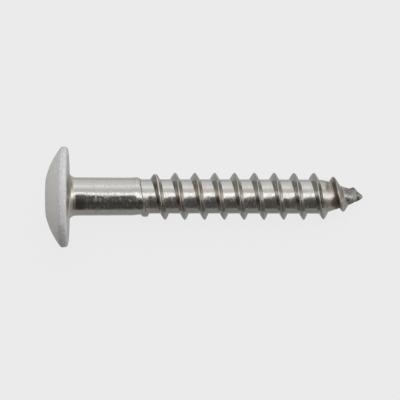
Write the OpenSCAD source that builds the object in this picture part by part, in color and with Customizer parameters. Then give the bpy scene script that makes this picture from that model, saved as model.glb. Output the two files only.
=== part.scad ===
// Facade screw, modelled as it lies on a flat surface.
//
// One cold-headed and thread-rolled piece of stainless steel: a low domed head
// with a flat crown and a six-lobe drive socket, a small fillet under the head,
// a plain shank, a right-handed wood thread and a gimlet point. The head is
// lacquered. The screw rests on the rim of its head and on one thread crest, so
// its axis slopes down towards the point.
//
// All sizes are in millimetres.

/* [Head] */
// Diameter of the head
head_d = 12; // [11:0.1:13]
// Height of the head, from the seat to the flat crown
head_h = 2.8; // [2.6:0.05:2.9]
// Radius of the dome
dome_r = 9.57; // [9.2:0.01:10]
// Rounding of the rim, towards the dome and towards the seat
rim_r = 0.54; // [0.4:0.02:0.6]

/* [Drive socket] */
// Width of the six-lobe socket across opposite lobes
socket_a = 3.94; // [3.3:0.01:4]
// Width of the six-lobe socket across opposite flutes
socket_b = 2.84; // [2.4:0.01:3]
// Rounding at the end of each lobe
lobe_r = 0.305; // [0.25:0.005:0.35]
// Depth of the straight walls
socket_depth = 1.8; // [1.4:0.1:2]

/* [Shank] */
// Diameter of the plain shank
shank_d = 4.52; // [4.4:0.02:4.8]
// Distance from the seat to the end of the plain shank
shank_l = 7.85; // [7.6:0.05:8.1]
// Fillet between the seat and the shank
neck_r = 0.7; // [0.2:0.05:0.8]

/* [Thread] */
// Length of the screw from the seat to the point
screw_l = 35; // [34:0.5:36]
// Outer diameter of the thread
thread_d = 5.6; // [5.4:0.05:5.8]
// Diameter of the core between the threads
core_d = 4.1; // [3.9:0.05:4.2]
// Distance from one thread to the next
pitch = 2.36; // [2.32:0.02:2.4]
// Angle of the thread's section
thread_angle = 65; // [55:1:70]
// Width of the flat along the crest
crest_w = 0.1; // [0.06:0.01:0.16]
// Distance from the seat to the crest's middle at the side, near the point
phase_s = 29.16; // [28:0.01:30]

/* [Point] */
// Length over which the core narrows to the point
point_l = 5; // [4.6:0.1:5.4]

/* [Hidden] */
$fn = 72;

core_r = core_d / 2;
thread_r = thread_d / 2;
shank_r = shank_d / 2;
head_r = head_d / 2;
flank = tan(thread_angle / 2);

// ---- Head: sections are drawn as x = radius, y = distance past the seat ----

// The dome's centre lies on the axis, this far past the seat
dome_s = 6.54;
// Centre of the rounding between the rim and the dome
rim_c = [head_r - rim_r, dome_s - sqrt(pow(dome_r - rim_r, 2) - pow(head_r - rim_r, 2))];
// Centre of the rounding between the rim and the seat
seat_c = [head_r - rim_r, -rim_r];
// Where the dome passes into the rounding
rim_t = rim_c * dome_r / (dome_r - rim_r) + [0, dome_s] * (1 - dome_r / (dome_r - rim_r));

module head_blank() {
    color("gainsboro") rotate_extrude() {
        // Dome, cut flat at the crown
        intersection() {
            translate([0, dome_s]) circle(r = dome_r);
            translate([0, -head_h]) square([rim_t[0], head_h + rim_t[1]]);
        }
        // Rim, with a rounding on each side
        intersection() {
            translate(rim_c) circle(r = rim_r);
            translate([rim_c[0], rim_t[1] - 1]) square([1, rim_c[1] - rim_t[1] + 1]);
        }
        polygon([[0, rim_t[1]], rim_t, rim_c, [head_r, rim_c[1]], [head_r, seat_c[1]], seat_c, [seat_c[0], 0], [0, 0]]);
        intersection() {
            translate(seat_c) circle(r = rim_r);
            translate(seat_c) square(1);
        }
    }
}

// ---- Drive socket ----

// Flutes between the lobes are arcs that touch the lobes' arcs
lobe_c = socket_a / 2 - lobe_r;
flute_r = (pow(socket_b / 2, 2) + pow(lobe_c, 2) - socket_b * lobe_c * cos(30) - pow(lobe_r, 2))
    / (2 * lobe_r + 2 * lobe_c * cos(30) - socket_b);
flute_c = socket_b / 2 + flute_r;
// Direction from a lobe's centre to where its arc touches the flute's arc
meet_a = atan2(flute_c * sin(30), flute_c * cos(30) - lobe_c);

function arc(c, r, a, b, n) = [for (i = [0 : n]) let (t = a + (b - a) * i / n) [c[0] + r * cos(t), c[1] + r * sin(t)]];
function turned(p, a) = [p[0] * cos(a) - p[1] * sin(a), p[0] * sin(a) + p[1] * cos(a)];

lobe_arc = arc([lobe_c, 0], lobe_r, -meet_a, meet_a, 10);
flute_arc = arc([flute_c * cos(30), flute_c * sin(30)], flute_r, meet_a + 180, 240 - meet_a, 6);
socket_section = [for (k = [0 : 5]) each concat(
    [for (p = lobe_arc) turned(p, 60 * k)],
    [for (i = [1 : 5]) turned(flute_arc[i], 60 * k)]
)];

module socket() {
    color("silver") {
        translate([0, 0, -head_h - 1]) linear_extrude(height = socket_depth + 1) polygon(socket_section);
        // Cone-shaped bottom
        translate([0, 0, -head_h + socket_depth - 0.01]) cylinder(h = 0.46, r1 = socket_b / 2 - 0.04, r2 = 0.25);
    }
}

// ---- Shank ----

module shank() {
    color("silver") {
        translate([0, 0, -0.5]) cylinder(h = shank_l + 0.5, r = shank_r);
        // Step down to the core, which ends inside the thread
        translate([0, 0, shank_l]) cylinder(h = 0.8, r1 = shank_r, r2 = core_r - 0.08);
        // Fillet under the head
        rotate_extrude() difference() {
            translate([shank_r - 0.3, -0.2]) square([neck_r + 0.3, neck_r + 0.2]);
            translate([shank_r + neck_r, neck_r]) circle(r = neck_r);
        }
    }
}

// ---- Thread and point ----
// A surface of rows and columns. Each row is one section of the thread, from the
// middle of a groove to just before the next groove's middle, and each row lies
// one step further round the screw. The section's last point meets the first
// point of the row one turn on, so that the surface closes on itself.

// Steps round one turn, a multiple of 4
steps = 36;
// Points in a section
n = 7;

point_s = screw_l - point_l;
// Past this place the rows are squeezed together, so that they end at the point
squeeze_s = screw_l - 0.8;
function squeezed(s) = s < squeeze_s ? s : screw_l - 0.03 - 0.77 * exp(-(s - squeeze_s) / 0.77);

// Radius of the core
function core_at(s) = core_r * lookup((s - point_s) / point_l, [
    [0, 1], [0.1, 0.94], [0.2, 0.865], [0.32, 0.765], [0.42, 0.69], [0.52, 0.595], [0.66, 0.49],
    [0.76, 0.4], [0.85, 0.3], [0.9, 0.24], [0.95, 0.165], [0.98, 0.105], [1, 0.05]
]);
// Radius at which the blank's lack of metal cuts the crest, where the thread starts
function cut_at(s) = thread_r * lookup(s, [
    [6.6, 0.7], [7.3, 0.78], [7.94, 0.818], [9.12, 0.875], [10.3, 0.948], [11.48, 1]
]);
// Radius of the crest, which falls along the point
function crest_at(s) = thread_r * lookup((s - point_s) / point_l, [
    [-0.12, 1], [0.06, 0.98], [0.284, 0.84], [0.54, 0.64], [0.744, 0.39], [0.87, 0.25], [0.97, 0.12], [1, 0]
]);

// Points of the section for a crest at place s, as offsets from the crest's middle
function offsets(s) = let (
    half = crest_w / 2 + max(0.12, (crest_at(s) - core_at(s)) * flank),
    top = min(crest_w / 2 + max(0, crest_at(s) - cut_at(s)) * flank, half - 0.09),
    inner = half - min(0.06, 0.4 * (half - top)),
    outer = half + 0.08
) [-pitch / 2, -outer, -inner, -top, top, inner, outer];
// Radius of the surface at offset w from the middle of a crest at place s
function surface_r(s, w) = max(
    core_at(squeezed(s + w)),
    min(cut_at(s), crest_at(s) - max(0, abs(w) - crest_w / 2) / flank)
);

first = -round((phase_s - 6.6) / pitch * steps);
last = round((screw_l + 1.5 - phase_s) / pitch * steps);
rows = last - first;

function crest_s(i) = phase_s + pitch * (first + i) / steps;
function row_points(i) = let (s = crest_s(i), a = 90 + 360 * (first + i) / steps)
    [for (w = offsets(s)) let (r = surface_r(s, w)) [r * cos(a), r * sin(a), squeezed(s + w)]];

side_points = [for (i = [0 : rows + steps]) each row_points(i)];
function at(i, k) = k < n ? i * n + k : (i + steps) * n + k - n;
total = len(side_points);

// The open ends: one turn of the groove's middle, and one section
function loop(j) = concat([for (i = [j : j + steps]) at(i, 0)], [for (k = [n - 1 : -1 : 1]) at(j, k)]);
start_loop = loop(0);
end_loop = loop(rows);
m = len(start_loop);

module thread() {
    color("silver") polyhedron(
        points = concat(side_points, [[0, 0, crest_s(0) - 0.1], [0, 0, screw_l]]),
        faces = concat(
            [for (i = [0 : rows - 1]) for (k = [0 : n - 1])
                each [[at(i, k), at(i, k + 1), at(i + 1, k + 1)], [at(i, k), at(i + 1, k + 1), at(i + 1, k)]]],
            [for (j = [0 : m - 1]) [total, start_loop[j], start_loop[(j + 1) % m]]],
            [for (j = [0 : m - 1]) [total + 1, end_loop[(j + 1) % m], end_loop[j]]]
        ),
        convexity = 12
    );
}

// ---- The screw along its own axis: the seat at z = 0, the point at +z ----

module upright_screw() {
    difference() {
        union() {
            head_blank();
            shank();
            thread();
        }
        socket();
    }
}

// ---- How it lies ----

// Crests on the underside, as [radius, place]. Underneath is at 0 degrees
under = [for (i = [0 : rows]) if ((first + i + steps / 4) % steps == 0 && crest_s(i) > 9) let (s = crest_s(i)) [min(cut_at(s), crest_at(s)), s + crest_w / 2]];
// Slope at which the rim and this crest would both touch the surface
function slope_for(p) = let (a = seat_c[0] - p[0], b = p[1] - seat_c[1])
    acos(-rim_r / sqrt(a * a + b * b)) - atan2(b, a);
slope = min([for (p = under) slope_for(p)]);
// Height of the seat's centre over the surface
seat_h = seat_c[1] * sin(slope) + seat_c[0] * cos(slope) + rim_r;
// The ends of the screw along the surface: the crown's lower edge and the point
crown_r = sqrt(pow(dome_r, 2) - pow(dome_s + head_h, 2));
left_x = -head_h * cos(slope) - crown_r * sin(slope);
right_x = screw_l * cos(slope);
mid_x = (left_x + right_x) / 2;

module screw() {
    translate([-mid_x, 0, seat_h]) rotate([0, 90 + slope, 0]) upright_screw();
}

screw();
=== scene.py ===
# Facade screw: the visual model, its finish, the floor, the light and the camera.
# The screw is drawn along its own axis first: s is the distance past the seat
# under the head, towards the point, and a is the angle round the axis. Underneath
# is at 0 degrees, +Y at 90 and the top at 180. Sizes are in millimetres until the
# mesh is placed in the frame.
import math

import bpy
import numpy as np
from mathutils import Matrix, Vector


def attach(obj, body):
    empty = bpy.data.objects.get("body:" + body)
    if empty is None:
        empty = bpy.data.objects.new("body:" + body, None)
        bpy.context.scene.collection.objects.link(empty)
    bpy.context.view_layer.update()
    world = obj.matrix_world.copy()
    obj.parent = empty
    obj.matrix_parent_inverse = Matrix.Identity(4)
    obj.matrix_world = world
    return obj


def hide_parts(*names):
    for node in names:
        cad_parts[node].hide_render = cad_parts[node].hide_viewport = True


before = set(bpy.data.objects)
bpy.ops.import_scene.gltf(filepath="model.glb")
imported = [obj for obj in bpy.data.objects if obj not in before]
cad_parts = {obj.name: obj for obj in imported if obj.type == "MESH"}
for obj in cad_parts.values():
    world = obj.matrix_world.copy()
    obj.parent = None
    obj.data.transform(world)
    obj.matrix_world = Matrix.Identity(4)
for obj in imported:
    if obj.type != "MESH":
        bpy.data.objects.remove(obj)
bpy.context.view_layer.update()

# ---- The construction's sizes ----
HEAD_R = 6.0
HEAD_H = 2.765
DOME_R = 9.57
DOME_S = 6.54
RIM_R = 0.54
NECK_R = 0.86
SEAT_S = -0.06
SEAT_DROP = 0.05  # the underside of the head falls away a little towards the rim
SHANK_R = 2.26
LENGTH = 35.0
THREAD_R = 2.8
CORE_R = 2.05
PITCH = 2.36
PHASE_S = 29.16
POINT_S = 30.0
SLOPE = math.radians(6.26885)
SEAT = Vector((-15.8899, 0.0, 5.90839))

AXIS = Vector((math.cos(SLOPE), 0.0, -math.sin(SLOPE)))
DOWN = Vector((-math.sin(SLOPE), 0.0, -math.cos(SLOPE)))
SIDE = Vector((0.0, 1.0, 0.0))

N_HEAD = 144
N_SHAFT = 72


def smooth_table(points, width):
    """A curve through points, rounded over about width."""
    x = np.arange(points[0][0] - 3 * width, points[-1][0] + 3 * width, 0.01)
    y = np.interp(x, [p[0] for p in points], [p[1] for p in points])
    k = np.exp(-0.5 * (np.arange(-3 * width, 3 * width + 0.005, 0.01) / width) ** 2)
    k /= k.sum()
    pad = len(k) // 2
    y2 = np.convolve(np.pad(y, pad, mode="edge"), k, mode="valid")[: len(x)]
    return lambda s: np.interp(s, x, y2)


def smax(a, b, k):
    h = np.maximum(k - np.abs(a - b), 0.0) / k
    return np.maximum(a, b) + h * h * k / 4


def smin(a, b, k):
    return -smax(-a, -b, k)


def ripple(a, s, seed, count, low, high, round_max):
    """Smooth unevenness round and along the screw, from -1 to 1, closed round the turn."""
    rng = np.random.default_rng(seed)
    total = np.zeros(np.broadcast(a, s).shape)
    for _ in range(count):
        turns = int(rng.integers(-round_max, round_max + 1))
        along = rng.uniform(low, high) * rng.choice((-1, 1))
        total = total + np.sin(turns * a + 2 * math.pi * along * s + rng.uniform(0, 2 * math.pi))
    return total / math.sqrt(count / 2) / 2


# ---- The shaft: neck, shank, thread and point ----
core_curve = smooth_table(
    [(-5, 2.024), (24.0, 2.02), (30.0, 2.01), (30.5, 1.925), (31.0, 1.77), (31.6, 1.565), (32.1, 1.40), (32.6, 1.21),
     (33.3, 1.0), (33.55, 0.935), (33.8, 0.80), (34.25, 0.58), (34.5, 0.43), (34.75, 0.28), (34.9, 0.11), (35.0, 0.03), (35.4, 0.0)],
    0.1,
)
crest_curve = smooth_table(
    [(-5, 2.8), (29.2, 2.8), (30.3, 2.75), (31.42, 2.39), (32.7, 1.8), (33.72, 1.03), (34.35, 0.62), (34.85, 0.22), (35.5, -0.3)],
    0.16,
)
cut_curve = smooth_table(
    [(-5, 1.0), (8.0, 1.5), (8.3, 1.88), (8.5, 2.11), (8.7, 2.23), (8.9, 2.34), (9.12, 2.46), (10.3, 2.68), (11.4, 2.86), (12.6, 3.3), (60, 3.4)],
    0.12,
)
shank_curve = smooth_table(
    [(-5, 2.285), (1.0, 2.282), (4.0, 2.262), (7.0, 2.25), (7.6, 2.255), (7.9, 2.262), (9.0, 2.255), (9.6, 2.0), (10.4, 0.2), (60, 0.0)],
    0.05,
)
roll_curve = smooth_table(
    [(-5, -0.046), (1.65, -0.046), (2.25, -0.012), (3.5, -0.006), (4.0, 0.012), (4.7, 0.012), (5.2, 0.0), (5.9, 0.003), (6.15, 0.012),
     (6.5, 0.0), (60, 0.0)],
    0.12,
)
# Where the rolled length begins, where the shank starts to taper to it and how steeply, by the angle in degrees
start_line = [(0, 9.3), (30, 9.0), (60, 8.75), (90, 8.55), (110, 8.48), (132, 8.5), (180, 8.73), (190, 8.88), (202, 9.0), (218, 9.1), (240, 9.15), (300, 9.4), (360, 9.3)]
taper_from = [
    (0, 7.9), (60, 8.1), (90, 8.16), (112, 8.35), (132, 8.4), (150, 8.52), (165, 8.58), (180, 8.64), (192, 8.84), (202, 8.95),
    (225, 8.7), (270, 7.8), (360, 7.9),
]
taper_by = [(0, 0.3), (90, 0.45), (132, 0.3), (202, 0.3), (235, 0.25), (270, 0.22), (360, 0.3)]


def by_angle(table, a):
    return np.interp(np.degrees(a) % 360, [p[0] for p in table], [p[1] for p in table])


bend_curve = smooth_table(
    [(-5, 0.0), (18, 0.0), (26, -0.018), (30, -0.028), (31.8, -0.04), (33.0, -0.05), (33.4, 0.02), (33.8, 0.06), (34.4, 0.015),
     (34.8, 0.0), (35.2, -0.03)],
    0.14,
)
CREST_ROUND = 0.24


def shaft_radius(a, s):
    """Radius of the shaft at angle a (radians) and place s."""
    turn = (s - PHASE_S) / PITCH - (a - math.pi / 2) / (2 * math.pi)
    w = (turn - np.round(turn)) * PITCH
    sc = s - w
    helix = np.round(turn) * 2 * math.pi + (a - math.pi / 2)  # angle counted along the whole crest
    crest = crest_curve(sc)
    fine = np.sin(helix * 2.3 + 0.7) + 0.7 * np.sin(helix * 5.1 + 2.0) + 0.5 * np.sin(helix * 9.7 + 4.1)
    crest = crest + 0.006 * fine * np.clip((sc - 8) / 3, 0, 1) + 0.032 * np.sin(a) + 0.012 * np.sin(a) ** 2
    cut = cut_curve(sc) + 0.01 * np.sin(helix * 3.7 + 1.0)
    # The flank to the head is a little flatter than the one to the point, and the last turns trail off
    trail = np.clip((sc - 31.4) / 1.0, 0, 1)
    right = 0.4475 + 0.0575 * np.sin(a) + (0.22 + 0.02 * np.sin(a)) * trail + 0.09 * np.exp(-(((sc - 30.3) / 0.35) ** 2))
    left = 0.5625 - 0.075 * np.cos(a) ** 2 + 0.03 * np.exp(-(((sc - 31.5) / 0.35) ** 2))
    flank = np.where(w > 0, right, left)
    v = crest + CREST_ROUND - np.sqrt((w / flank) ** 2 + CREST_ROUND**2)
    # The thread's first half turn is still soft
    soft = np.clip((8.9 - sc) / 1.0, 0, 1)
    cut = cut - 0.28 * np.clip((9.3 - sc) / 0.6, 0, 1) * np.maximum(w + 0.1, 0)
    ridge = smin(v, cut, 0.14 + 0.1 * soft)
    core = core_curve(s) + 0.006 * ripple(a, s, 11, 10, 0.05, 0.5, 3) + 0.028 * np.sin(a) * np.clip((34 - s) / 1.5, 0, 1)
    # The hollow before the last small bump
    core = core - 0.055 * np.maximum(np.sin(a), 0) * np.exp(-(((s - 33.3) / 0.17) ** 2))
    core = core - 0.04 * np.maximum(-np.sin(a), 0) * np.exp(-(((s - 34.05) / 0.25) ** 2))
    # A faint lobe left by the rolling, on the side to -Y
    t = (math.pi - a + math.pi) % (2 * math.pi) - math.pi
    lobe = np.clip((math.radians(7.5) - t) / math.radians(20), 0, 1)
    lobe = lobe * lobe * (3 - 2 * lobe) * np.clip((t + math.radians(150)) / math.radians(110), 0, 1)
    # It is a little higher just past a crest than before the next one, and not the same in every turn
    part = turn - np.floor(turn)
    more = np.interp(part, [0, 0.12, 0.22, 0.3, 0.38, 0.46, 0.6, 0.8, 0.9, 1.0], [0.35, 0.6, 0.54, 0.24, 0.02, -0.15, -0.24, -0.34, -0.25, 0.35])
    more = more * np.clip((30.6 - s) / 0.8, 0, 1)
    for at, wide, much in ((9.72, 0.25, -0.4), (19.35, 0.3, 0.25), (26.15, 0.4, 0.95)):
        more = more + much * np.exp(-(((s - at) / wide) ** 2))
    core = core + 0.06 * lobe * (1 + more * np.clip((t + math.radians(90)) / math.radians(60), 0, 1))
    hollow = 0.4 * np.exp(-(((sc - 32.1) / 0.35) ** 2)) * np.clip(-w / 0.2, 0, 1)
    r = smax(core, ridge, 0.06 + 0.1 * soft + hollow)
    shank = shank_curve(s) + 0.0025 * ripple(a, s, 12, 12, 0.05, 0.9, 4)
    shank = shank + 0.05 * np.sin(a) * np.exp(-(((s - 8.07) / 0.25) ** 2))
    swell = np.clip((math.radians(7.5) - t) / math.radians(26), 0, 1)
    swell = swell * swell * (3 - 2 * swell) * np.clip((t + math.radians(100)) / math.radians(60), 0, 1)
    shank = shank + 0.105 * swell * np.clip((s - 7.78) / 0.4, 0, 1)
    side = np.clip((math.radians(17) - t) / math.radians(26), 0, 1)
    shank = shank + roll_curve(s) * side * side * (3 - 2 * side) * np.clip((t + math.radians(100)) / math.radians(60), 0, 1)
    past = s - by_angle(taper_from, a)
    shank = shank - by_angle(taper_by, a) * 0.5 * (past + np.sqrt(past**2 + 0.003))
    return smax(r, shank - 2.2 * np.maximum(s - by_angle(start_line, a), 0), 0.04)


def dents(a, s):
    """Small hollows near the tip: how deep, from 0 to 1."""
    deep = 0.0
    for at, degrees, wide in ((32.98, 190, 0.12), (34.38, 194, 0.14), (34.42, 224, 0.11), (33.17, 207, 0.23), (33.6, 20, 0.13), (34.2, 290, 0.12)):
        side = ((np.degrees(a) - degrees + 180) % 360 - 180) * math.pi / 180 * np.maximum(core_curve(s), 0.2)
        deep = deep + np.exp(-(((s - at) / wide) ** 2) - (side / wide) ** 2)
    return deep


def shaft_point(a, s):
    """The surface point, with the point's flats and its bend."""
    r = shaft_radius(a, s)
    # The point was pinched between two dies
    pinch = np.clip((s - 33.2) / 1.2, 0, 1) ** 2 * (3 - 2 * np.clip((s - 33.2) / 1.2, 0, 1))
    r = r * (1 + pinch * (0.10 * np.cos(2 * (a - 1.1)) + 0.05 * np.cos(3 * a + 0.6)))
    r = r + 0.018 * pinch * ripple(a, s, 13, 14, 0.5, 2.2, 5) * np.clip(r / 0.5, 0, 1)
    r = r - 0.09 * dents(a, s)
    return np.stack([r * np.cos(a), r * np.sin(a) + bend_curve(s), s + 0 * a], -1)


def shaft_steep(a, s):
    """How steeply the radius changes along the screw: 0 on the root and the crest, 1 and -1 on the two flanks."""
    d = 0.02
    return np.clip((shaft_radius(a, s + d) - shaft_radius(a, s - d)) / (2 * d) / 1.4, -1, 1)


def shaft_stain_and_shade(a, s):
    """A dark brown patch in the hollow before the last turn's crest, the dark places at the tip, and painted shade
    along the point's upper and lower outline.
    """
    turn = (s - PHASE_S) / PITCH - (a - math.pi / 2) / (2 * math.pi)
    w = (turn - np.round(turn)) * PITCH
    wide = 0.68 + 0.65 * np.clip((np.degrees(a) % 360 - 178) / 24, 0, 1) - 0.36 * np.clip((np.degrees(a) % 360 - 215) / 20, 0, 1)
    patch = np.clip((w + wide) / 0.3, 0, 1) * np.clip((0.0 - w) / 0.12, 0, 1)
    patch = patch * np.clip((s - w - 31.5) / 0.3, 0, 1) * np.clip((32.8 - s + w) / 0.3, 0, 1)
    # Painted shade: the point is darker along its upper and lower outline
    degrees = np.degrees(a) % 360
    near = np.clip((s - 34.1) / 0.5, 0, 1)
    point_outline_shade = 0.62 * np.exp(-(((degrees - 98 - 30 * near) / (24 + 12 * near)) ** 2)) + 0.56 * np.exp(-(((degrees - 233) / 36) ** 2))
    return np.clip(patch + dents(a, s) + point_outline_shade * np.clip((s - 32.98) / 0.45, 0, 1), 0, 1)


# ---- The socket's outline ----
SOCKET_A, SOCKET_B, LOBE_R = 3.94, 2.84, 0.305
LOBE_C = SOCKET_A / 2 - LOBE_R
FLUTE_R = ((SOCKET_B / 2) ** 2 + LOBE_C**2 - SOCKET_B * LOBE_C * math.cos(math.pi / 6) - LOBE_R**2) / (
    2 * LOBE_R + 2 * LOBE_C * math.cos(math.pi / 6) - SOCKET_B
)
FLUTE_C = SOCKET_B / 2 + FLUTE_R


def socket_radius(a):
    b = (a + math.pi / 6) % (math.pi / 3) - math.pi / 6
    c = np.abs(b)
    lobe = LOBE_C * np.cos(c) + np.sqrt(np.maximum(LOBE_R**2 - (LOBE_C * np.sin(c)) ** 2, 0))
    d = math.pi / 6 - c
    flute = FLUTE_C * np.cos(d) - np.sqrt(np.maximum(FLUTE_R**2 - (FLUTE_C * np.sin(d)) ** 2, 0))
    meet = math.atan2(FLUTE_C * 0.5, FLUTE_C * math.cos(math.pi / 6) - LOBE_C)
    turn = math.atan2(LOBE_R * math.sin(meet), LOBE_C + LOBE_R * math.cos(meet))
    return np.where(c < turn, lobe, flute)


# ---- Rings of points, from the bottom of the socket over the head to the point ----
rings = []  # (points (n, 3), coat, zone, steep, stain)


def add(points, coat, zone, steep=0.0, stain_and_shade=0.0):
    points = np.array(points, float)
    if zone != "shaft":
        # The head sits a little to the -Y side of the shaft
        reach = np.hypot(points[:, 0], points[:, 1])
        points[:, 1] -= 0.042 * np.clip((reach - 3.2) / 1.8, 0, 1) if zone == "back" else 0.042 + 0.05 * np.clip((-points[:, 2] - 0.5) / 0.7, 0, 1)
    n = len(points)
    rings.append((points, np.broadcast_to(np.asarray(coat, float), (n,)), zone, np.broadcast_to(steep, (n,)), np.broadcast_to(stain_and_shade, (n,))))


# Angles of the head's rings, closer together along the lobes' ends
base = np.arange(N_HEAD) / N_HEAD * 2 * math.pi
lobed = base - 0.045 * np.sin(6 * base)


def head_ring(r, s, angles=base):
    return np.stack([r * np.cos(angles), r * np.sin(angles), s + 0 * angles], -1)


bare = -1.0
outline = socket_radius(lobed)
floor_s = -1.0
for f, ds in ((0.12, 0.40), (0.35, 0.31), (0.62, 0.17), (0.86, 0.04), (0.96, 0.0)):
    add(head_ring(f * np.minimum(outline, SOCKET_B / 2 + (outline - SOCKET_B / 2) * np.clip(f * 1.2 - 0.15, 0, 1)), floor_s + ds, lobed), bare, "socket_floor")
for s in np.linspace(floor_s, -HEAD_H + 0.16, 7):
    add(head_ring(outline, s, lobed), 0.2 if s > -1.6 else 0.3, "socket_wall")
for t in (0.25, 0.5, 0.75, 1.0):
    add(head_ring(outline + 0.05 * (1 - math.cos(t * math.pi / 2)), -HEAD_H + 0.16 - 0.155 * math.sin(t * math.pi / 2), lobed), 0.6, "lip")

# Crown, rounded into the dome
crown_r = math.sqrt(DOME_R**2 - (DOME_S + HEAD_H) ** 2)


def dome_s(r):
    flat = -HEAD_H - 0.012 + 0.012 * (r / crown_r) ** 2
    ball = DOME_S - np.sqrt(DOME_R**2 - r**2)
    return smax(flat, ball, 0.05)


crown_edge = outline + 0.05
for t in (0.35, 0.7):
    r = crown_edge * (1 - t) + (crown_r + 0.05) * t
    add(np.stack([r * np.cos(lobed * (1 - t) + base * t), r * np.sin(lobed * (1 - t) + base * t), dome_s(r)], -1), 1.0, "crown")
rim_c = (HEAD_R - RIM_R, DOME_S - math.sqrt((DOME_R - RIM_R) ** 2 - (HEAD_R - RIM_R) ** 2))
rim_t = math.asin(rim_c[0] / (DOME_R - RIM_R))
rim_start = DOME_R * math.sin(rim_t)
for r in np.linspace(crown_r + 0.05, rim_start, 26)[:-1]:
    add(head_ring(r, float(dome_s(np.array(r)))), 1.0, "dome")
# Rim: the rounding from the dome, then the rounding to the seat
for t in np.linspace(0, 1, 13):
    q = -(math.pi / 2 - rim_t) * (1 - t)
    full = RIM_R + 0.04 * math.sin(math.pi * t) ** 2
    add(head_ring(rim_c[0] + full * math.cos(q), rim_c[1] + full * math.sin(q)), 1.0, "rim")
for t in np.linspace(0, 1, 17):
    q = math.pi / 2 * t
    full = RIM_R + 0.065 * math.sin(2 * q) ** 2
    add(head_ring(HEAD_R - RIM_R + full * math.cos(q), SEAT_S - SEAT_DROP - RIM_R + full * math.sin(q)), 0.36 + (math.pi / 2 - q) * RIM_R, "back")
for r in (5.3, 5.0, 4.4, 3.8, 3.4):
    add(head_ring(r, SEAT_S - SEAT_DROP * ((r - 3.2) / 2.26) ** 1.2), np.clip(r - 5.1, -1, 1), "back")

# Neck
shaft = np.arange(N_SHAFT) / N_SHAFT * 2 * math.pi
neck_foot = 2.285
for q in np.linspace(0, math.pi / 2, 14)[:-1]:
    r = neck_foot + NECK_R * (1 - math.sin(q))
    s = SEAT_S + (NECK_R - SEAT_S) * (1 - math.cos(q))
    r = r + 0.0025 * ripple(shaft, s, 12, 12, 0.05, 0.9, 4) * math.sin(q)
    add(np.stack([r * np.cos(shaft), r * np.sin(shaft), s + 0 * shaft], -1), bare, "shaft")
step = PITCH / N_SHAFT
fine_start = PHASE_S - step * math.ceil((PHASE_S - 6.9) / step)
for s in np.arange(NECK_R, fine_start - 0.05, 0.13):
    add(shaft_point(shaft, s), bare, "shaft", shaft_steep(shaft, s))
count = int((LENGTH - 0.012 - fine_start) / step)
for j in range(count + 1):
    s = fine_start + j * step
    add(shaft_point(shaft, s), bare, "shaft", shaft_steep(shaft, s), shaft_stain_and_shade(shaft, s))

# ---- The mesh ----
points = [np.array([[0.0, 0.0, floor_s + 0.43]])]
starts = []
coats = [np.array([bare])]
steeps = [np.array([0.0])]
stains_and_shade = [np.array([0.0])]
total = 1
for ring, coat, _, steep, stain_and_shade in rings:
    starts.append(total)
    points.append(ring)
    coats.append(coat)
    steeps.append(steep)
    stains_and_shade.append(stain_and_shade)
    total += len(ring)
points.append(np.array([[0.0, float(bend_curve(LENGTH)), LENGTH]]))
coats.append(np.array([bare]))
steeps.append(np.array([0.0]))
stains_and_shade.append(np.array([0.0]))
tip = total
points = np.concatenate(points)
coats = np.concatenate(coats)
steeps = np.concatenate(steeps)
stains_and_shade = np.concatenate(stains_and_shade)

# Five flat charts of the surface, laid side by side in a square: socket floor, socket wall, dome, back of the head
# and the shaft rolled out. Every chart is drawn at the same scale, in millimetres
SHEET = 37.0
travel = [0.0]
for j in range(1, len(rings)):
    ends = [(np.hypot(r[:, 0], r[:, 1]).mean(), r[:, 2].mean()) for r in (rings[j - 1][0], rings[j][0])]
    travel.append(travel[-1] + math.hypot(ends[1][0] - ends[0][0], ends[1][1] - ends[0][1]))
zones = [ring[2] for ring in rings]
first_of = {zone: zones.index(zone) for zone in zones}
rounding_end = max(j for j in range(len(rings)) if zones[j] == "back" and np.hypot(*rings[j][0][0, :2]) > 5.45)


def chart_of(j):
    """The chart of the faces between ring j and the next."""
    here, there = zones[j], zones[j + 1]
    if there == "socket_floor" or (there == "socket_wall" and here == "socket_floor"):
        return "floor"
    if there in ("socket_wall", "lip"):
        return "wall"
    if there in ("crown", "dome", "rim"):
        return "dome"
    return "shaft" if here == "shaft" else "back"


def chart_place(j, chart):
    """Flat places of ring j's points in a chart, the first one given again at the end."""
    ring = rings[j][0]
    n = len(ring)
    if chart in ("wall", "shaft"):
        x0, y0, wide = (0.3, 32.0, 11.2) if chart == "wall" else (0.3, 0.3, 15.0)
        along = travel[j] - travel[first_of["socket_wall" if chart == "wall" else "shaft"]]
        turn = np.arange(n + 1) / n
        if chart == "wall":
            return np.stack([x0 + wide * turn, y0 + along + 0 * turn], -1)
        return np.stack([x0 + along + 0 * turn, y0 + wide * turn], -1)
    reach = np.hypot(ring[:, 0], ring[:, 1])
    if zones[j] in ("dome", "rim"):
        reach = 0 * reach + crown_r + 0.2 + travel[j] - travel[first_of["dome"]]
    if chart == "back" and j <= rounding_end:
        reach = 0 * reach + HEAD_R - RIM_R + travel[rounding_end] - travel[j]
    centre = {"floor": (33.0, 19.0), "dome": (7.6, 23.6), "back": (22.9, 23.6)}[chart]
    a = np.arctan2(ring[:, 1], ring[:, 0])
    flat = np.stack([centre[0] + reach * np.cos(a), centre[1] + reach * np.sin(a)], -1)
    return np.concatenate([flat, flat[:1]])


tris = []
corners = []
charts = []


def face(chart, nodes, flat):
    tris.append(np.stack(nodes, 1))
    corners.append(np.stack(flat, 1))
    charts.extend([chart] * len(nodes[0]))


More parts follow.
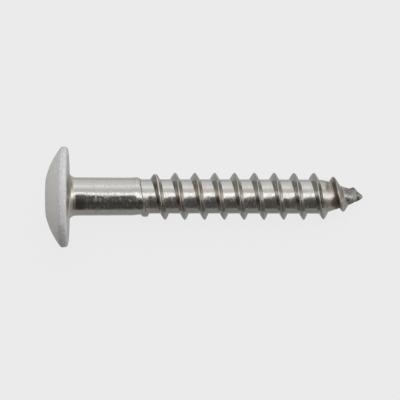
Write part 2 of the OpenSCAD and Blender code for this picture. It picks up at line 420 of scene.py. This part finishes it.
i = np.arange(N_HEAD)
A = chart_place(0, "floor")
face("floor", [0 * i, starts[0] + (i + 1) % N_HEAD, starts[0] + i], [np.broadcast_to([33.0, 19.0], (N_HEAD, 2)), A[i + 1], A[i]])
for j in range(len(rings) - 1):
    a, b = len(rings[j][0]), len(rings[j + 1][0])
    chart = chart_of(j)
    A, B = chart_place(j, chart), chart_place(j + 1, chart)
    o, q = starts[j], starts[j + 1]
    i = np.arange(b)
    k = (i + 1) % b
    if a == b:
        face(chart, [o + i, o + k, q + k], [A[i], A[i + 1], B[i + 1]])
        face(chart, [o + i, q + k, q + i], [A[i], B[i + 1], B[i]])
    else:
        # From 144 points to 72
        face(chart, [o + 2 * i, o + 2 * i + 1, q + i], [A[2 * i], A[2 * i + 1], B[i]])
        face(chart, [o + 2 * i + 1, o + (2 * i + 2) % a, q + k], [A[2 * i + 1], A[2 * i + 2], B[i + 1]])
        face(chart, [o + 2 * i + 1, q + k, q + i], [A[2 * i + 1], B[i + 1], B[i]])
i = np.arange(N_SHAFT)
A = chart_place(len(rings) - 1, "shaft")
face("shaft", [starts[-1] + i, starts[-1] + (i + 1) % N_SHAFT, 0 * i + tip], [A[i], A[i + 1], (A[i] + A[i + 1]) / 2 + [0.03, 0]])
tris = np.concatenate(tris)
corners = np.concatenate(corners)
charts = np.array(charts)
for chart in ("floor", "wall", "dome", "back", "shaft"):
    here = charts == chart
    flat = corners[here]
    e, f = flat[:, 1] - flat[:, 0], flat[:, 2] - flat[:, 0]
    if (e[:, 0] * f[:, 1] - e[:, 1] * f[:, 0]).sum() < 0:  # seen from behind: turned over
        flat[..., 0] = flat[..., 0].min() + flat[..., 0].max() - flat[..., 0]
        corners[here] = flat

turn = np.array([DOWN, SIDE, AXIS])
world = (points @ turn + np.array(SEAT)) * 0.001

mesh = bpy.data.meshes.new("screw_body")
mesh.vertices.add(len(world))
mesh.vertices.foreach_set("co", world.astype(np.float32).ravel())
mesh.loops.add(tris.size)
mesh.loops.foreach_set("vertex_index", tris.astype(np.int32).ravel())
mesh.polygons.add(len(tris))
mesh.polygons.foreach_set("loop_start", np.arange(0, tris.size, 3, dtype=np.int32))
mesh.polygons.foreach_set("use_smooth", np.ones(len(tris), bool))
mesh.update(calc_edges=True)
sheet = mesh.uv_layers.new(name="OFBake")
sheet.uv.foreach_set("vector", (corners / SHEET).astype(np.float32).ravel())
mesh.validate()
for name, values in (("coat", coats), ("steep", steeps), ("stain_and_shade", stains_and_shade)):
    layer = mesh.attributes.new(name, "FLOAT", "POINT")
    layer.data.foreach_set("value", values.astype(np.float32))
screw = bpy.data.objects.new("screw_body", mesh)
bpy.context.collection.objects.link(screw)
print("screw_body", len(mesh.vertices), "vertices", len(mesh.polygons), "triangles")


# ---- Materials ----
class Nodes:
    """Short helpers for a node tree."""

    def __init__(self, tree):
        self.tree = tree
        tree.nodes.clear()

    def add(self, kind, **values):
        node = self.tree.nodes.new(kind)
        for key, value in values.items():
            setattr(node, key, value)
        return node

    def put(self, socket, value):
        if isinstance(value, bpy.types.NodeSocket):
            self.tree.links.new(value, socket)
        else:
            socket.default_value = value

    def math(self, op, a, b=0.0, c=0.0, clamp=False):
        node = self.add("ShaderNodeMath", operation=op, use_clamp=clamp)
        for socket, value in zip(node.inputs, (a, b, c)):
            self.put(socket, value)
        return node.outputs[0]

    def vector(self, op, a, b=None, scale=None):
        node = self.add("ShaderNodeVectorMath", operation=op)
        self.put(node.inputs[0], a)
        if b is not None:
            self.put(node.inputs[1], b)
        if scale is not None:
            node.inputs["Scale"].default_value = scale
        return node.outputs["Value" if op in ("LENGTH", "DOT_PRODUCT") else "Vector"]

    def noise(self, where, scale, detail=2.0, rough=0.5, distortion=0.0):
        node = self.add("ShaderNodeTexNoise", noise_dimensions="3D")
        self.put(node.inputs["Vector"], where)
        node.inputs["Scale"].default_value = scale
        node.inputs["Detail"].default_value = detail
        node.inputs["Roughness"].default_value = rough
        node.inputs["Distortion"].default_value = distortion
        return node.outputs["Fac"]

    def voronoi(self, where, scale, feature="F1", randomness=1.0):
        node = self.add("ShaderNodeTexVoronoi", feature=feature)
        self.put(node.inputs["Vector"], where)
        node.inputs["Scale"].default_value = scale
        node.inputs["Randomness"].default_value = randomness
        return node.outputs["Distance"]

    def ramp(self, value, stops, interpolation="LINEAR"):
        node = self.add("ShaderNodeValToRGB")
        node.color_ramp.interpolation = interpolation
        elements = node.color_ramp.elements
        while len(elements) < len(stops):
            elements.new(0.5)
        for element, (place, colour) in zip(elements, stops):
            element.position = place
        for element, (place, colour) in zip(elements, stops):
            element.color = (*colour, 1.0) if isinstance(colour, tuple) else (colour, colour, colour, 1.0)
        self.put(node.inputs["Fac"], value)
        return node.outputs["Color"]

    def range(self, value, a, b, c=0.0, d=1.0, smooth=False):
        node = self.add("ShaderNodeMapRange", interpolation_type="SMOOTHSTEP" if smooth else "LINEAR")
        for socket, v in zip(node.inputs, (value, a, b, c, d)):
            self.put(socket, v)
        return node.outputs[0]

    def mix(self, factor, a, b, blend="MIX", kind="RGBA"):
        node = self.add("ShaderNodeMix", data_type=kind, blend_type=blend)
        spots = {"RGBA": (6, 7, 2), "FLOAT": (2, 3, 0)}[kind]
        self.put(node.inputs[0], factor)
        for k, v in ((spots[0], a), (spots[1], b)):
            if kind == "RGBA" and isinstance(v, tuple):
                v = (*v, 1.0)
            self.put(node.inputs[k], v)
        return node.outputs[spots[2]]


material = bpy.data.materials.new("rolled_stainless_with_lacquered_head")
material.use_nodes = True
n = Nodes(material.node_tree)
out = n.add("ShaderNodeOutputMaterial")
surface = n.add("ShaderNodeBsdfPrincipled")
n.tree.links.new(surface.outputs[0], out.inputs[0])

# Place on the screw in millimetres: x along the axis from the seat, y to the side, z up from the axis
coord = n.add("ShaderNodeTexCoord")
from_seat = n.vector("SUBTRACT", coord.outputs["Object"], tuple(SEAT * 0.001))
turned = n.add("ShaderNodeVectorRotate", rotation_type="Y_AXIS")
n.put(turned.inputs["Vector"], from_seat)
turned.inputs["Angle"].default_value = -SLOPE
place = n.vector("SCALE", turned.outputs[0], scale=1000.0)
parts = n.add("ShaderNodeSeparateXYZ")
n.put(parts.inputs[0], place)
along, aside, up = parts.outputs
radius = n.math("SQRT", n.math("ADD", n.math("MULTIPLY", aside, aside), n.math("MULTIPLY", up, up)))

# Lacquer: a soft, uneven edge
coat = n.add("ShaderNodeAttribute", attribute_name="coat").outputs["Fac"]
edge = n.math("ADD", coat, n.math("MULTIPLY", n.math("SUBTRACT", n.noise(place, 2.4, 4.0, 0.6), 0.5), 0.5))
mask = n.range(edge, -0.03, 0.05, smooth=True)

# Steel
steep = n.add("ShaderNodeAttribute", attribute_name="steep").outputs["Fac"]
speck = n.noise(place, 7.0, 4.0, 0.6)
cloud = n.noise(place, 0.9, 3.0, 0.5)
steel = n.ramp(speck, [(0.25, (0.605, 0.594, 0.566)), (0.5, (0.66, 0.648, 0.62)), (0.8, (0.685, 0.675, 0.65))])
# A brown film on the flanks, in some roots and towards the point
root = n.range(radius, 2.55, 2.02, 0.0, 1.0)
threaded = n.range(along, 8.6, 10.0)
film = n.math("MULTIPLY", n.math("MULTIPLY", root, threaded), n.range(cloud, 0.5, 0.66, 0.0, 0.42))
above = n.math("MULTIPLY", n.range(aside, -0.6, 0.4), n.range(cloud, 0.38, 0.6))
film = n.math("MAXIMUM", film, n.math("MULTIPLY", n.range(along, 29.5, 31.0), above))
blush = n.math("MULTIPLY", n.math("MULTIPLY", n.range(along, 30.1, 30.9), n.range(along, 33.2, 32.4)), n.range(aside, -0.3, 0.5, 0.0, 0.85))
film = n.math("MAXIMUM", film, blush)
steel = n.mix(n.math("MULTIPLY", film, 0.42), steel, (0.42, 0.33, 0.27))
steel = n.mix(n.math("MULTIPLY", n.range(along, 1.1, 0.5), 0.6), steel, (0.78, 0.735, 0.645))
# Painted shade in the corner where the neck meets the head
neck_corner_shade = n.math("MULTIPLY", n.range(along, 0.34, 0.14), n.range(aside, -0.3, 0.4, 0.1, 0.6))
neck_corner_shade = n.math("MULTIPLY", neck_corner_shade, n.range(radius, 3.25, 3.05))
steel = n.mix(neck_corner_shade, steel, (0.33, 0.30, 0.25))
# Brown film on the thread's flanks, partly painted shade: the falling flanks are darker above and below the middle
# and towards the point
brown = n.mix(n.range(along, 17.0, 11.0), (0.40, 0.372, 0.33), (0.345, 0.305, 0.26))
flank = n.mix(n.range(n.math("ABSOLUTE", aside), 1.6, 2.3), brown, (0.46, 0.463, 0.43))
rising = n.math("MAXIMUM", steep, 0.0)
falling = n.math("MULTIPLY", n.math("MAXIMUM", n.math("MULTIPLY", steep, -1.0), 0.0), n.math("MAXIMUM", n.range(aside, 0.4, 1.4, 0.35, 1.15), n.range(aside, -0.5, -1.3, 0.35, 1.8)))
falling = n.math("MULTIPLY", falling, n.range(along, 29.5, 30.2, 1.0, 1.8))
steel = n.mix(n.math("MULTIPLY", n.math("ADD", rising, falling), n.range(cloud, 0.3, 0.7, 0.45, 0.85)), steel, flank)
# Painted shade on the lower part of the first crest's rising flank
first_flank_shade = n.math("MULTIPLY", n.math("MULTIPLY", rising, n.range(along, 11.7, 11.1)), n.range(aside, -1.4, -0.9, 0.0, 0.65))
steel = n.mix(first_flank_shade, steel, (0.19, 0.155, 0.13))
shaded = n.math("MULTIPLY", n.math("MULTIPLY", n.math("MULTIPLY", rising, n.range(along, 11.4, 12.0)), n.range(along, 30.0, 29.5)), n.math("MULTIPLY", n.range(aside, 0.15, -0.05), n.range(aside, -0.8, -0.5)))
steel = n.mix(shaded, steel, (0.68, 0.67, 0.66), blend="MULTIPLY")
# Painted shade close to the head just below the axis and on the crests at the screw's sides; darker streaks on the
# upper side before the last turn
shadow = n.math("MULTIPLY", n.range(along, 0.4, 0.65), n.range(along, 2.1, 1.7))
shadow = n.math("MULTIPLY", shadow, n.math("MULTIPLY", n.range(aside, -0.05, -0.35), n.range(aside, -1.75, -1.5)))
steel = n.mix(shadow, steel, (0.68, 0.67, 0.65), blend="MULTIPLY")
streak = n.math("MAXIMUM", n.math("MULTIPLY", n.range(along, 30.5, 30.7), n.range(along, 31.0, 30.8)), n.math("MULTIPLY", n.range(along, 31.25, 31.5), n.range(along, 31.8, 31.6)))
streak = n.math("MULTIPLY", streak, n.range(aside, 0.35, 0.9, 0.0, 0.8))
steel = n.mix(streak, steel, (0.55, 0.53, 0.5), blend="MULTIPLY")
outline_crest_shade = n.math("MULTIPLY", n.math("MULTIPLY", threaded, n.range(radius, 2.15, 2.4)), n.range(n.math("ABSOLUTE", aside), 1.85, 2.1))
steel = n.mix(outline_crest_shade, steel, (0.83, 0.835, 0.83), blend="MULTIPLY")
# Painted shade: the hollows between the crests are darker on the lower side
hollow = n.math("MULTIPLY", threaded, root)
lower_hollow_shade = n.math("MULTIPLY", n.range(aside, -1.3, -1.46), n.range(along, 30.2, 29.6))
steel = n.mix(n.math("MULTIPLY", hollow, lower_hollow_shade), steel, (0.8, 0.8, 0.79), blend="MULTIPLY")
# Painted light: lighter on the lower side towards the point
pale = n.math("MAXIMUM", n.math("MULTIPLY", n.range(along, 29.9, 30.5), n.range(along, 31.6, 31.2)), n.range(along, 32.3, 32.55))
pale = n.math("MULTIPLY", pale, n.range(aside, -0.95, -1.35))
steel = n.mix(pale, steel, (1.22, 1.22, 1.22), blend="MULTIPLY")
line = n.math("MULTIPLY", n.math("MULTIPLY", n.range(along, 32.2, 32.32), n.range(along, 32.62, 32.5)), n.math("MULTIPLY", n.range(aside, -0.4, -0.1), n.range(aside, 1.1, 0.8)))
steel = n.mix(line, steel, (0.68, 0.66, 0.63), blend="MULTIPLY")
# Darker band just below the axis before the point
lower_dark_band = n.math("MULTIPLY", n.range(along, 29.6, 29.9), n.range(along, 30.6, 30.4))
lower_dark_band = n.math("MULTIPLY", lower_dark_band, n.math("MULTIPLY", n.range(aside, -0.1, -0.4), n.range(aside, -1.0, -0.8)))
steel = n.mix(lower_dark_band, steel, (0.62, 0.61, 0.6), blend="MULTIPLY")
lit = n.math("MULTIPLY", n.range(aside, 0.75, 0.5), n.range(aside, 0.0, 0.12))
steel = n.mix(n.math("MULTIPLY", hollow, lit), steel, (1.1, 1.1, 1.1), blend="MULTIPLY")
# Painted highlight: the crests, and the swelling where the shank ends, are brighter where they face up, the first
# crests with a warm tone
highlight_band = n.math("MULTIPLY", n.range(aside, -0.7, -0.3), n.range(aside, 1.5, 0.9))
crest_zone = n.range(radius, 2.1, 2.35)
highlight_gain = n.math("MAXIMUM", n.math("MULTIPLY", n.range(radius, 2.6, 2.8), n.range(along, 22.0, 26.0, 0.8, 0.4)), n.math("MULTIPLY", crest_zone, n.range(along, 18.0, 23.0)))
highlight_gain = n.math("MULTIPLY", highlight_gain, n.range(along, 31.6, 30.8))
highlight_gain = n.math("MULTIPLY", highlight_gain, n.math("SUBTRACT", 1.0, n.math("MULTIPLY", n.range(along, 23.0, 25.0), n.range(aside, 0.45, 0.85))))
swollen = n.math("MULTIPLY", n.range(along, 7.9, 8.15), n.range(along, 9.0, 8.75))
highlight_gain = n.math("MAXIMUM", highlight_gain, n.math("MULTIPLY", swollen, n.range(aside, 0.5, 0.3)))
steel = n.mix(n.math("MULTIPLY", highlight_gain, highlight_band), steel, (1.2, 1.2, 1.2), blend="MULTIPLY")
# Painted shade where the thread starts, just below the axis
runin_shade = n.math("MULTIPLY", n.range(along, 8.38, 8.54), n.range(along, 9.02, 8.92))
runin_shade = n.math("MULTIPLY", runin_shade, n.math("MULTIPLY", n.range(aside, -0.1, -0.26), n.range(aside, -1.0, -0.75)))
steel = n.mix(runin_shade, steel, (0.5, 0.49, 0.47), blend="MULTIPLY")
# Warm tint in the painted highlight of the first crests
warm = n.math("MULTIPLY", n.math("MULTIPLY", crest_zone, highlight_band), n.math("MULTIPLY", n.range(along, 9.6, 10.4), n.range(along, 23.0, 19.5, 0.0, 0.5)))
steel = n.mix(warm, steel, (1.08, 0.99, 0.88), blend="MULTIPLY")
stain_and_shade = n.add("ShaderNodeAttribute", attribute_name="stain_and_shade").outputs["Fac"]
dull = n.range(n.math("MULTIPLY_ADD", speck, 1.2, along), 33.0, 33.9)
tip_colour = n.ramp(n.noise(place, 3.6, 2.0, 0.5), [(0.34, (0.27, 0.276, 0.246)), (0.5, (0.45, 0.455, 0.42)), (0.64, (0.62, 0.625, 0.59))])
steel = n.mix(n.math("MULTIPLY", dull, 0.92), steel, tip_colour)
# Painted shade on the upper side of the point
point_upper_shade = n.math("MULTIPLY", n.range(along, 32.55, 33.05), n.range(aside, 0.08, 0.38, 0.0, 0.76))
point_upper_shade = n.math("MULTIPLY", point_upper_shade, n.range(along, 33.55, 33.85, 1.0, 0.45))
steel = n.mix(point_upper_shade, steel, (0.16, 0.152, 0.132))
# Colour of the brown patch, the dark hollows and the painted shade along the point's outline, near black at the tip
dark_mark_and_shade_colour = n.mix(dull, (0.20, 0.16, 0.135), (0.06, 0.06, 0.054))
steel = n.mix(n.math("MULTIPLY", stain_and_shade, n.range(cloud, 0.3, 0.6, 0.8, 1.0)), steel, dark_mark_and_shade_colour)
# Rolling marks: short streaks round the screw, some of them etched dull
squeeze = n.add("ShaderNodeMapping")
n.put(squeeze.inputs["Vector"], place)
squeeze.inputs["Scale"].default_value = (1.0, 0.42, 0.42)
streaks = n.noise(squeeze.outputs[0], 5.6, 2.0, 0.55)
etched = n.range(n.noise(squeeze.outputs[0], 3.6, 2.0, 0.5), 0.48, 0.7)
etched = n.math("MULTIPLY", etched, n.math("MULTIPLY", n.range(threaded, 0.0, 1.0, 1.0, 0.65), n.range(along, 1.7, 2.3, 0.25, 1.0)))
rough_steel = n.math("ADD", n.math("MULTIPLY_ADD", etched, 0.34, 0.1), n.math("MULTIPLY", dull, 0.25))
rough_steel = n.math("ADD", rough_steel, n.math("MULTIPLY", stain_and_shade, 0.32))
rough_steel = n.math("ADD", rough_steel, n.range(along, 0.1, -0.02, 0.0, 0.16))
lower = n.math("MULTIPLY", n.range(aside, 0.0, -0.2), n.range(aside, -1.4, -1.2))
rolled = n.math("MULTIPLY", n.math("MULTIPLY", n.range(along, 8.3, 8.6), n.range(along, 9.9, 9.3)), 0.18)
rolled = n.math("MAXIMUM", rolled, n.math("MULTIPLY", hollow, 0.12))
rough_steel = n.math("ADD", rough_steel, n.math("MULTIPLY", rolled, lower))

# Lacquer: light grey, a shade warmer on the dome, with a fine grain, and worn in spots along the rim
grain = n.noise(place, 5.5, 4.0, 0.6)
fine = n.noise(place, 13.0, 3.0, 0.6)
patch = n.noise(place, 1.5, 3.0, 0.55)
wavy = n.math("MULTIPLY_ADD", n.math("SUBTRACT", n.noise(place, 1.6, 3.0, 0.6), 0.5), 0.7, along)
rimward = n.range(wavy, -1.3, -0.75, smooth=True)
lacquer = n.mix(rimward, (0.60, 0.592, 0.563), (0.60, 0.603, 0.612))
low, high = n.math("MULTIPLY_ADD", rimward, -0.08, 0.88), n.math("MULTIPLY_ADD", rimward, 0.05, 1.09)
shade = n.math("MULTIPLY", n.range(grain, 0.3, 0.7, low, high), n.range(fine, 0.3, 0.7, 0.92, 1.07))
# Painted shade: a faint darker line where the dome meets the rim
meeting_shade_line = n.ramp(n.range(along, -1.25, -0.55), [(0.0, 1.0), (0.3, 0.98), (0.5, 0.87), (0.66, 0.94), (0.85, 1.0)])
shade = n.math("MULTIPLY", shade, meeting_shade_line)
shade = n.math("MULTIPLY", shade, n.range(patch, 0.3, 0.7, 0.94, 1.05))
lacquer = n.mix(1.0, lacquer, n.ramp(shade, [(0.0, 0.0), (1.0, 1.0)]), blend="MULTIPLY")
shift = n.vector("ADD", place, (17.0, 5.0, 9.0))
chips = n.math("MULTIPLY", n.range(n.noise(shift, 5.0, 2.0), 0.58, 0.66), rimward)
rubbed = n.math("MULTIPLY", n.range(along, -0.55, -0.2, 0.0, 0.26), n.range(n.math("ABSOLUTE", aside), 4.9, 3.6))
rubbed = n.math("MULTIPLY", rubbed, n.range(grain, 0.35, 0.6, 0.6, 1.1))
lacquer = n.mix(n.math("MAXIMUM", n.math("MULTIPLY", chips, 0.55), rubbed), lacquer, (0.86, 0.87, 0.88))
# Painted shade on the lower side of the rim, broken up by noise
rim_lower_shade = n.math("MULTIPLY", n.range(aside, -3.0, -4.2), n.math("MULTIPLY", n.range(along, -1.3, -1.05), n.range(along, -0.25, -0.65, 0.25, 1.0)))
rim_lower_shade = n.math("MULTIPLY", rim_lower_shade, n.range(n.noise(shift, 3.2, 3.0), 0.35, 0.6, 0.3, 0.55))
lacquer = n.mix(rim_lower_shade, lacquer, (0.29, 0.283, 0.255))
worn = n.math("MAXIMUM", n.range(aside, -3.2, -5.2), n.range(aside, 5.0, 5.9, 0.0, 0.8))
worn = n.math("MULTIPLY", n.math("MULTIPLY_ADD", worn, 0.8, 0.12), n.range(n.noise(shift, 3.6, 3.0, 0.6), 0.5, 0.36))
lacquer = n.mix(n.math("MULTIPLY", worn, n.range(along, -1.9, -1.1, 0.2, 0.85)), lacquer, (0.22, 0.225, 0.205))

worn_off = n.math("MULTIPLY_ADD", dull, -0.4, n.math("MULTIPLY_ADD", threaded, -0.03, n.math("MULTIPLY_ADD", stain_and_shade, -0.1, 1.0)))
n.put(surface.inputs["Base Color"], n.mix(mask, steel, lacquer))
n.put(surface.inputs["Metallic"], n.math("MULTIPLY", n.math("SUBTRACT", 1.0, mask), worn_off))
n.put(surface.inputs["Roughness"], n.mix(mask, rough_steel, n.range(grain, 0.3, 0.7, 0.42, 0.6), kind="FLOAT"))

# Fine relief
pits = n.range(n.voronoi(squeeze.outputs[0], 2.4), 0.0, 0.3, 1.0, 0.0, smooth=True)
pits = n.math("MULTIPLY", pits, n.range(n.noise(place, 1.3, 1.0), 0.5, 0.62))
relief_steel = n.math("SUBTRACT", n.math("MULTIPLY", streaks, 0.014), n.math("MULTIPLY", pits, 0.008))
relief_steel = n.math("ADD", relief_steel, n.math("MULTIPLY", n.noise(place, 2.0, 1.0), 0.008))
relief_coat = n.math("ADD", n.math("MULTIPLY", grain, 0.03), n.math("MULTIPLY", fine, 0.006))
height = n.mix(mask, relief_steel, relief_coat, kind="FLOAT")
bump = n.add("ShaderNodeBump")
bump.inputs["Strength"].default_value = 1.0
bump.inputs["Distance"].default_value = 0.001
n.put(bump.inputs["Height"], height)
n.put(surface.inputs["Normal"], bump.outputs[0])
mesh.materials.append(material)

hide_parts("screw")
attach(screw, "root")

# ---- Floor ----
floor_mesh = bpy.data.meshes.new("floor")
floor_mesh.from_pydata([(-4, -4, 0), (4, -4, 0), (4, 4, 0), (-4, 4, 0)], [], [(0, 1, 2, 3)])
floor = bpy.data.objects.new("floor", floor_mesh)
bpy.context.collection.objects.link(floor)
floor.visible_glossy = False
pale = bpy.data.materials.new("pale_floor")
pale.use_nodes = True
n = Nodes(pale.node_tree)
out = n.add("ShaderNodeOutputMaterial")
matt = n.add("ShaderNodeBsdfPrincipled")
matt.inputs["Base Color"].default_value = (0.04, 0.04, 0.04, 1)
matt.inputs["Roughness"].default_value = 0.9
matt.inputs["Specular IOR Level"].default_value = 0.0
matt.inputs["Emission Color"].default_value = (1.0, 1.0, 1.0, 1)
matt.inputs["Emission Strength"].default_value = 0.795
n.tree.links.new(matt.outputs[0], out.inputs[0])
floor_mesh.materials.append(pale)

# ---- Light: a soft studio round the screw, brightest at the back, dark in front ----
studio = bpy.data.worlds.new("studio")
bpy.context.scene.world = studio
studio.use_nodes = True
n = Nodes(studio.node_tree)
out = n.add("ShaderNodeOutputWorld")
ground = n.add("ShaderNodeBackground")
way = n.add("ShaderNodeTexCoord").outputs["Generated"]
turned = n.add("ShaderNodeVectorRotate", rotation_type="Y_AXIS")
n.put(turned.inputs["Vector"], way)
turned.inputs["Angle"].default_value = -SLOPE
parts = n.add("ShaderNodeSeparateXYZ")
n.put(parts.inputs[0], turned.outputs[0])
along, aside, up = parts.outputs
around = n.math("MULTIPLY_ADD", n.math("ARCTAN2", aside, up), 0.5 / math.pi, 0.5)


def bands(name, stops):
    """Brightness round the screw's axis: 0 straight above, +90 at the back, -90 in front."""
    colour = n.ramp(around, [(degrees / 360.0 + 0.5, level) for degrees, level in stops])
    colour.node.name = name
    return colour


MIDDLE = [
    (-180, 0.44), (-120, 0.31), (-94, 0.35), (-86, 0.13), (-75, 0.05), (-60, 0.07), (-45, 0.05), (-30, 0.07), (-20, 0.09),
    (-10, 0.12), (-4, 0.07), (3, 0.26), (8, 0.92), (12, 1.35), (19, 1.42), (25, 0.78), (33, 0.63), (45, 0.72), (55, 0.9),
    (66, 1.1), (75, 0.89), (88, 0.82), (100, 0.74), (112, 0.77), (122, 0.53), (150, 0.54), (180, 0.44),
]
HEAD_SIDE = [
    (-180, 0.46), (-140, 0.25), (-115, 0.21), (-95, 0.16), (-80, 0.07), (-60, 0.03), (-40, 0.05), (-25, 0.18), (-12, 0.42),
    (0, 0.7), (12, 0.8), (25, 0.72), (40, 0.58), (60, 0.36), (80, 0.25), (100, 0.22), (120, 0.27), (145, 0.52), (180, 0.46),
]
POINT_SIDE = [
    (-180, 0.48), (-140, 0.43), (-115, 0.31), (-95, 0.32), (-80, 0.27), (-60, 0.26), (-40, 0.3), (-25, 0.41), (-12, 0.74),
    (0, 1.2), (12, 1.4), (25, 0.98), (40, 0.72), (60, 0.48), (80, 0.34), (100, 0.26), (120, 0.43), (145, 0.44), (180, 0.48),
]
HEAD_END = [(-180, 0.38), (-100, 0.26), (-50, 0.4), (-15, 0.6), (15, 0.65), (50, 0.52), (100, 0.34), (180, 0.38)]
POINT_END = [(-180, 0.8), (-100, 0.32), (-50, 0.58), (-15, 0.62), (15, 0.52), (50, 0.36), (100, 0.35), (180, 0.8)]
middle = bands("middle", MIDDLE)
head_side = bands("head_side", HEAD_SIDE)
point_side = bands("point_side", POINT_SIDE)
head_end = bands("head_end", HEAD_END)
point_end = bands("point_end", POINT_END)
seen = n.mix(n.range(along, -0.2, -0.65, smooth=True), middle, head_side)
seen = n.mix(n.range(along, 0.2, 0.65, smooth=True), seen, point_side)
seen = n.mix(n.range(along, -0.85, -0.95, smooth=True), seen, head_end)
seen = n.mix(n.range(along, 0.85, 0.95, smooth=True), seen, point_end)
# What is dark has a warm tone
seen = n.mix(n.range(seen, 0.05, 0.45), n.mix(1.0, seen, (1.06, 1.0, 0.9), blend="MULTIPLY"), seen)
camera_ray = n.add("ShaderNodeLightPath").outputs["Is Camera Ray"]
colour = n.mix(camera_ray, seen, (0.83, 0.83, 0.83))
n.put(ground.inputs["Color"], colour)
ground.inputs["Strength"].default_value = 1.0
n.tree.links.new(ground.outputs[0], out.inputs[0])

key_data = bpy.data.lights.new("key", "SUN")
key_data.energy = 1.3
key_data.angle = math.radians(35)
key = bpy.data.objects.new("key", key_data)
bpy.context.collection.objects.link(key)
key.rotation_euler = Vector((0.15, 0.34, 0.93)).to_track_quat("Z", "Y").to_euler()
key.visible_glossy = False

# ---- Camera: looks straight down on the sloping axis ----
PX = 0.11917  # millimetres to a pixel at the axis
DISTANCE = 374.0
back = Vector((math.sin(SLOPE), 0.0, math.cos(SLOPE)))
centre = SEAT + AXIS * (131.0 * PX) - SIDE * (3.5 * PX)
cam_data = bpy.data.cameras.new("camera")
cam_data.sensor_width = 36.0
cam_data.lens = 36.0 * DISTANCE / (400 * PX)
cam_data.clip_start = 0.01
cam_data.clip_end = 20.0
cam = bpy.data.objects.new("camera", cam_data)
bpy.context.collection.objects.link(cam)
turn = Matrix((AXIS, SIDE, back)).transposed().to_4x4()
cam.matrix_world = Matrix.Translation((centre + back * DISTANCE) * 0.001) @ turn
bpy.context.scene.camera = cam
bpy.context.scene.view_settings.view_transform = "Standard"
bpy.context.scene.view_settings.look = "None"
